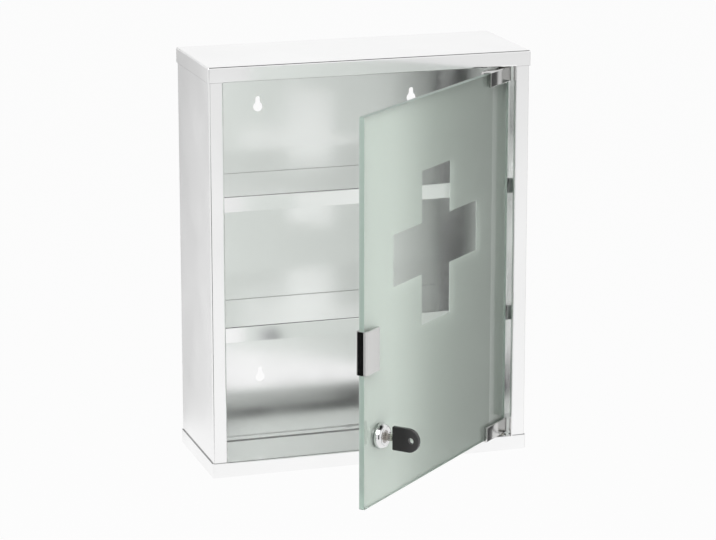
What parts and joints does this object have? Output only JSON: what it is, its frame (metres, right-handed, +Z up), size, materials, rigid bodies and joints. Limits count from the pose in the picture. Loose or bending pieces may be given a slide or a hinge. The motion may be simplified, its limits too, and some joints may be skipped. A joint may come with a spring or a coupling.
{
  "type": "lockable medicine cabinet",
  "caption": "Wall-mounted folded stainless steel cabinet with shelves and an inset frosted glass door on corner pivots, with a clear cross, a clip handle and a cam lock with its key.",
  "frame": {"origin": "centre of the back panel's outer face, the face that lies on the wall, midway across the width and the height", "axes": "+X right seen from the front, +Y into the wall, +Z up; the front faces -Y; the door is hinged on the +X side and stands open by 43 degrees"},
  "size_m": [0.32, 0.3136, 0.4],
  "materials": {
    "cabinet_steel": "fine satin stainless steel sheet",
    "satin_steel": "satin nickel-plated metal",
    "plated_steel": "zinc-plated steel",
    "lock_chrome": "polished chrome plate",
    "key_nickel": "bright nickel plate",
    "brass": "stamped brass",
    "clear_glass": "clear toughened float glass with green edges",
    "frosted_film": "frosted translucent film",
    "bumper_rubber": "soft clear-grey elastomer",
    "liner_rubber": "thin matt gasket sheet",
    "nylon": "natural nylon",
    "key_plastic": "moulded black plastic"
  },
  "bodies": {
    "cabinet": {"body_shell": "cabinet_steel", "top_cap": "cabinet_steel", "bottom_cap": "cabinet_steel", "upper_shelf": "cabinet_steel", "lower_shelf": "cabinet_steel", "upper_pivot_bush": "nylon", "lower_pivot_bush": "nylon"},
    "door": {"door_glass": "clear_glass", "frosted_film": "frosted_film", "door_bumpers": "bumper_rubber", "upper_hinge_clamp": "satin_steel", "lower_hinge_clamp": "satin_steel", "upper_clamp_liner": "liner_rubber", "lower_clamp_liner": "liner_rubber", "upper_pivot_pin": "plated_steel", "lower_pivot_pin": "plated_steel", "clamp_screws": "plated_steel", "handle_clip": "satin_steel", "handle_liner": "liner_rubber", "handle_screw": "plated_steel", "lock_housing": "lock_chrome", "lock_gasket": "liner_rubber", "lock_washer": "plated_steel", "lock_nut": "plated_steel"},
    "lock_barrel": {"lock_plug": "lock_chrome", "lock_wafers": "brass", "lock_cam": "plated_steel", "cam_washer": "plated_steel", "cam_screw": "plated_steel"},
    "key": {"key_blade": "key_nickel", "key_head": "key_plastic"}
  },
  "joints": [
    {"name": "door_hinge", "type": "hinge", "parent": "cabinet", "child": "door", "pos_m": [0.1355, -0.1105, 0], "axis": [0, 0, 1], "range_deg": [-43, 62]},
    {"name": "lock_turn", "type": "hinge", "parent": "door", "child": "lock_barrel", "pos_m": [-0.04454, -0.28181, -0.1185], "axis": [-0.682, 0.7314, 0], "range_deg": [0, 90]},
    {"name": "key_slide", "type": "slide", "parent": "lock_barrel", "child": "key", "axis": [0.682, -0.7314, 0], "range_m": [0, 0.03]}
  ]
}
